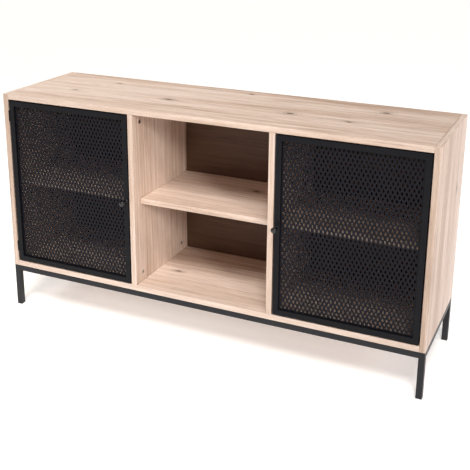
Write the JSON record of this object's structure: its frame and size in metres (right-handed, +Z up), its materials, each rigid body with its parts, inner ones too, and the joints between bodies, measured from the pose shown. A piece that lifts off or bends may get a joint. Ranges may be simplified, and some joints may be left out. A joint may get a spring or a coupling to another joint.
{
  "type": "tv stand with doors",
  "caption": "Low board carcass of three bays, two mesh doors on side hinges and an open middle bay with a shelf, on a square-tube base.",
  "frame": {"origin": "on the floor, under the middle of the bounding box, knobs included", "axes": "+X to the stand's right as seen from the front, +Y to its back, +Z up"},
  "size_m": [1.2, 0.356, 0.635],
  "materials": {
    "light_oak": "pale oak-look decor paper on particle board, satin",
    "back_oak": "thin fibreboard with the same oak-look decor",
    "black_steel": "black powder coat, satin, fine texture",
    "black_sheet": "black powder coat on perforated steel sheet",
    "black_knob": "black enamel, semi-gloss",
    "zinc": "bright zinc",
    "black_plastic": "moulded, matt",
    "white_plastic": "moulded, satin"
  },
  "bodies": {
    "stand": {"back_board": "back_oak", "back_left_foot_glide": "black_plastic", "back_left_leg": "black_steel", "back_rail": "black_steel", "back_right_foot_glide": "black_plastic", "back_right_leg": "black_steel", "bottom_panel": "light_oak", "front_left_foot_glide": "black_plastic", "front_left_leg": "black_steel", "front_rail": "black_steel", "front_right_foot_glide": "black_plastic", "front_right_leg": "black_steel", "left_divider": "light_oak", "left_divider_cam_bottom_back": "zinc", "left_divider_cam_bottom_front": "zinc", "left_divider_cam_top_back": "zinc", "left_divider_cam_top_front": "zinc", "left_lower_hinge_carcass_leaf": "black_steel", "left_lower_hinge_pin": "black_knob", "left_magnetic_catch": "white_plastic", "left_rail": "black_steel", "left_shelf": "light_oak", "left_side_panel": "light_oak", "left_upper_hinge_carcass_leaf": "black_steel", "left_upper_hinge_pin": "black_knob", "middle_shelf": "light_oak", "right_divider": "light_oak", "right_divider_cam_bottom_back": "zinc", "right_divider_cam_bottom_front": "zinc", "right_divider_cam_top_back": "zinc", "right_divider_cam_top_front": "zinc", "right_lower_hinge_carcass_leaf": "black_steel", "right_lower_hinge_pin": "black_knob", "right_magnetic_catch": "white_plastic", "right_rail": "black_steel", "right_shelf": "light_oak", "right_side_panel": "light_oak", "right_upper_hinge_carcass_leaf": "black_steel", "right_upper_hinge_pin": "black_knob", "top_panel": "light_oak"},
    "left_door": {"left_door_bottom_rail": "black_steel", "left_door_hinge_stile": "black_steel", "left_door_lock_stile": "black_steel", "left_door_mesh": "black_sheet", "left_door_top_rail": "black_steel", "left_knob": "black_knob", "left_knob_screw": "zinc", "left_lower_hinge_door_leaf": "black_steel", "left_upper_hinge_door_leaf": "black_steel"},
    "right_door": {"right_door_bottom_rail": "black_steel", "right_door_hinge_stile": "black_steel", "right_door_lock_stile": "black_steel", "right_door_mesh": "black_sheet", "right_door_top_rail": "black_steel", "right_knob": "black_knob", "right_knob_screw": "zinc", "right_lower_hinge_door_leaf": "black_steel", "right_upper_hinge_door_leaf": "black_steel"}
  },
  "joints": [
    {"name": "left_door_hinge", "type": "hinge", "parent": "stand", "child": "left_door", "pos_m": [-0.5835, -0.152, 0.38], "axis": [0, 0, -1], "range_deg": [0, 170]},
    {"name": "right_door_hinge", "type": "hinge", "parent": "stand", "child": "right_door", "pos_m": [0.5835, -0.152, 0.38], "axis": [0, 0, 1], "range_deg": [0, 170]}
  ]
}
